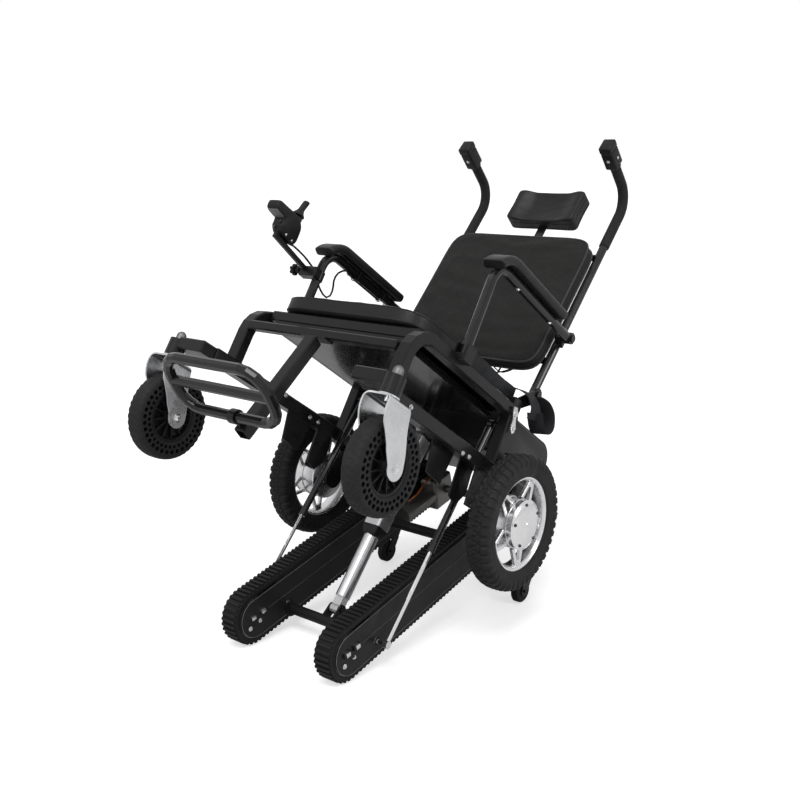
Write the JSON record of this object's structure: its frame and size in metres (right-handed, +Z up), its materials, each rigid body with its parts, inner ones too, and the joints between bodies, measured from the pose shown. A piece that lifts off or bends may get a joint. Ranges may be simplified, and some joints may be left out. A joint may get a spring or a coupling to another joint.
{
  "type": "electric stair chair",
  "caption": "Powered wheelchair with fold down rubber tracks, padded seat and back, joystick arm, push grips and casters, standing on its tracks.",
  "frame": {"origin": "centre of the bounding box's footprint, on the floor that the lowered tracks and the rear rollers stand on", "axes": "+X to the user's left, -Y the way the user faces, +Z up; the chair is tipped back on its lowered tracks as in the picture"},
  "size_m": [0.6988, 1.2876, 1.1315],
  "materials": {
    "alloy": "polished",
    "anodised": "satin",
    "belt_rubber": "matt",
    "black_paint": "satin",
    "black_plastic": "gloss",
    "cable": "matt",
    "chrome": "polished",
    "cover_cloth": "matt",
    "foam_grip": "matt",
    "grey_metal": "satin",
    "leather": "satin",
    "tyre_rubber": "matt",
    "webbing": "matt",
    "zinc": "satin"
  },
  "bodies": {
    "frame": {"side_frame_left": "black_paint", "side_frame_right": "black_paint", "leg_frame": "black_paint", "seat_bar": "black_paint", "rear_bar": "black_paint", "battery_tray": "black_paint", "battery_box": "black_plastic", "caster_arm_left": "black_paint", "caster_arm_right": "black_paint", "seat_base": "black_plastic", "seat_cushion": "leather", "seat_belt": "webbing"},
    "footrest": {"footrest_loop": "black_paint"},
    "backrest": {"back_frame": "black_paint", "push_grip_left": "foam_grip", "push_grip_right": "foam_grip", "backrest_cushion": "cover_cloth"},
    "headrest": {"headrest_stem": "black_paint", "headrest_pad": "leather"},
    "armrest_left": {"armrest_frame_left": "black_paint", "armrest_pad_left": "leather"},
    "armrest_right": {"armrest_frame_right": "black_paint", "armrest_pad_right": "leather", "controller_arm": "black_plastic", "controller_body": "black_plastic", "controller_cable": "cable"},
    "clamp_knob": {"clamp_knob": "black_plastic"},
    "joystick_gimbal": {"joystick_gimbal": "grey_metal"},
    "joystick": {"joystick": "black_plastic"},
    "power_button": {"power_button": "black_plastic"},
    "tracks": {"track_belt_left": "belt_rubber", "track_belt_right": "belt_rubber", "track_frame_left": "black_paint", "track_frame_right": "black_paint", "front_cross_tube": "black_paint", "rear_cross_tube": "black_paint", "track_motor": "grey_metal"},
    "drive_shaft": {"drive_shaft": "grey_metal"},
    "actuator_housing": {"actuator_housing": "anodised"},
    "actuator_rod": {"actuator_rod": "anodised"},
    "caster_fork_left": {"caster_fork_left": "zinc"},
    "caster_wheel_left": {"caster_tyre_left": "tyre_rubber", "caster_rim_left": "black_plastic"},
    "rear_wheel_left": {"rear_tyre_left": "tyre_rubber", "rear_rim_left": "alloy"},
    "roller_left": {"roller_left": "tyre_rubber"},
    "idler_left": {"idler_drum_left": "grey_metal"},
    "strut_cylinder_left": {"strut_cylinder_left": "black_paint"},
    "strut_rod_left": {"strut_rod_left": "chrome"},
    "caster_fork_right": {"caster_fork_right": "zinc"},
    "caster_wheel_right": {"caster_tyre_right": "tyre_rubber", "caster_rim_right": "black_plastic"},
    "rear_wheel_right": {"rear_tyre_right": "tyre_rubber", "rear_rim_right": "alloy"},
    "roller_right": {"roller_right": "tyre_rubber"},
    "idler_right": {"idler_drum_right": "grey_metal"},
    "strut_cylinder_right": {"strut_cylinder_right": "black_paint"},
    "strut_rod_right": {"strut_rod_right": "chrome"}
  },
  "joints": [
    {"name": "footrest_fold", "type": "hinge", "parent": "frame", "child": "footrest", "pos_m": [0, -0.57114, 0.57836], "axis": [-1, 0, 0], "range_deg": [0, 80]},
    {"name": "backrest_recline", "type": "hinge", "parent": "frame", "child": "backrest", "pos_m": [0, 0.18647, 0.52604], "axis": [-1, 0, 0], "range_deg": [0, 25]},
    {"name": "headrest_slide", "type": "slide", "parent": "backrest", "child": "headrest", "axis": [0, 0.6993, 0.7149], "range_m": [0, 0.06]},
    {"name": "clamp_knob_turn", "type": "hinge", "parent": "armrest_right", "child": "clamp_knob", "pos_m": [-0.2913, -0.08487, 0.8131], "axis": [-1, 0, 0], "range_deg": [-180, 180]},
    {"name": "joystick_pitch", "type": "hinge", "parent": "armrest_right", "child": "joystick_gimbal", "pos_m": [-0.275, -0.11578, 0.93344], "axis": [1, 0, 0], "range_deg": [-10, 10], "stiffness_Nm_per_rad": 0.6},
    {"name": "joystick_roll", "type": "hinge", "parent": "joystick_gimbal", "child": "joystick", "pos_m": [-0.275, -0.11578, 0.93344], "axis": [0, 0.8352, -0.55], "range_deg": [-10, 10], "stiffness_Nm_per_rad": 0.6},
    {"name": "power_button_press", "type": "slide", "parent": "armrest_right", "child": "power_button", "axis": [0, 0.55, 0.8352], "range_m": [-0.0015, 0], "stiffness_N_per_m": 800, "springref_m": 0.0005},
    {"name": "track_fold", "type": "hinge", "parent": "frame", "child": "tracks", "pos_m": [0, 0.22935, 0.22097], "axis": [-1, 0, 0], "range_deg": [0, 35]},
    {"name": "drive_shaft_spin", "type": "hinge", "parent": "tracks", "child": "drive_shaft", "pos_m": [0, 0.22935, 0.22097], "axis": [1, 0, 0], "continuous": true},
    {"name": "actuator_swing", "type": "hinge", "parent": "frame", "child": "actuator_housing", "pos_m": [0, 0.03709, 0.43284], "axis": [-1, 0, 0], "range_deg": [0, 41.11]},
    {"name": "actuator_stroke", "type": "slide", "parent": "actuator_housing", "child": "actuator_rod", "axis": [0, -0.6579, -0.7531], "range_m": [-0.1678, 0]},
    {"name": "armrest_flip_left", "type": "hinge", "parent": "backrest", "child": "armrest_left", "pos_m": [0.25, 0.291, 0.65477], "axis": [-1, 0, 0], "range_deg": [0, 70]},
    {"name": "caster_swivel_left", "type": "hinge", "parent": "frame", "child": "caster_fork_left", "pos_m": [0.3114, -0.59131, 0.46592], "axis": [0, 0.55, 0.8352], "continuous": true},
    {"name": "caster_spin_left", "type": "hinge", "parent": "caster_fork_left", "child": "caster_wheel_left", "pos_m": [0.3114, -0.49191, 0.51684], "axis": [1, 0, 0], "continuous": true},
    {"name": "rear_wheel_spin_left", "type": "hinge", "parent": "frame", "child": "rear_wheel_left", "pos_m": [0.3045, -0.01778, 0.2768], "axis": [1, 0, 0], "continuous": true},
    {"name": "roller_spin_left", "type": "hinge", "parent": "frame", "child": "roller_left", "pos_m": [0.2165, 0.16153, 0.02999], "axis": [1, 0, 0], "continuous": true},
    {"name": "idler_spin_left", "type": "hinge", "parent": "tracks", "child": "idler_left", "pos_m": [0.1422, -0.42205, 0.06419], "axis": [1, 0, 0], "continuous": true},
    {"name": "strut_swing_left", "type": "hinge", "parent": "frame", "child": "strut_cylinder_left", "pos_m": [0.1975, 0.04155, 0.4778], "axis": [-1, 0, 0], "range_deg": [0, 38.46]},
    {"name": "strut_stroke_left", "type": "slide", "parent": "strut_cylinder_left", "child": "strut_rod_left", "axis": [0, -0.6781, -0.735], "range_m": [-0.1901, 0]},
    {"name": "armrest_flip_right", "type": "hinge", "parent": "backrest", "child": "armrest_right", "pos_m": [-0.25, 0.291, 0.65477], "axis": [-1, 0, 0], "range_deg": [0, 70]},
    {"name": "caster_swivel_right", "type": "hinge", "parent": "frame", "child": "caster_fork_right", "pos_m": [-0.3114, -0.59131, 0.46592], "axis": [0, 0.55, 0.8352], "continuous": true},
    {"name": "caster_spin_right", "type": "hinge", "parent": "caster_fork_right", "child": "caster_wheel_right", "pos_m": [-0.3114, -0.49191, 0.51684], "axis": [1, 0, 0], "continuous": true},
    {"name": "rear_wheel_spin_right", "type": "hinge", "parent": "frame", "child": "rear_wheel_right", "pos_m": [-0.3045, -0.01778, 0.2768], "axis": [1, 0, 0], "continuous": true},
    {"name": "roller_spin_right", "type": "hinge", "parent": "frame", "child": "roller_right", "pos_m": [-0.2165, 0.16153, 0.02999], "axis": [1, 0, 0], "continuous": true},
    {"name": "idler_spin_right", "type": "hinge", "parent": "tracks", "child": "idler_right", "pos_m": [-0.1422, -0.42205, 0.06419], "axis": [1, 0, 0], "continuous": true},
    {"name": "strut_swing_right", "type": "hinge", "parent": "frame", "child": "strut_cylinder_right", "pos_m": [-0.1975, 0.04155, 0.4778], "axis": [-1, 0, 0], "range_deg": [0, 38.46]},
    {"name": "strut_stroke_right", "type": "slide", "parent": "strut_cylinder_right", "child": "strut_rod_right", "axis": [0, -0.6781, -0.735], "range_m": [-0.1901, 0]}
  ],
  "couplings": [
    {"joint": "actuator_swing", "follows": "track_fold", "ratio": 1.1688},
    {"joint": "actuator_stroke", "follows": "track_fold", "m_per_rad": -0.27389},
    {"joint": "idler_spin_left", "follows": "drive_shaft_spin", "ratio": 1},
    {"joint": "strut_swing_left", "follows": "track_fold", "ratio": 1.0933},
    {"joint": "strut_stroke_left", "follows": "track_fold", "m_per_rad": -0.31032},
    {"joint": "idler_spin_right", "follows": "drive_shaft_spin", "ratio": 1},
    {"joint": "strut_swing_right", "follows": "track_fold", "ratio": 1.0933},
    {"joint": "strut_stroke_right", "follows": "track_fold", "m_per_rad": -0.31032}
  ]
}
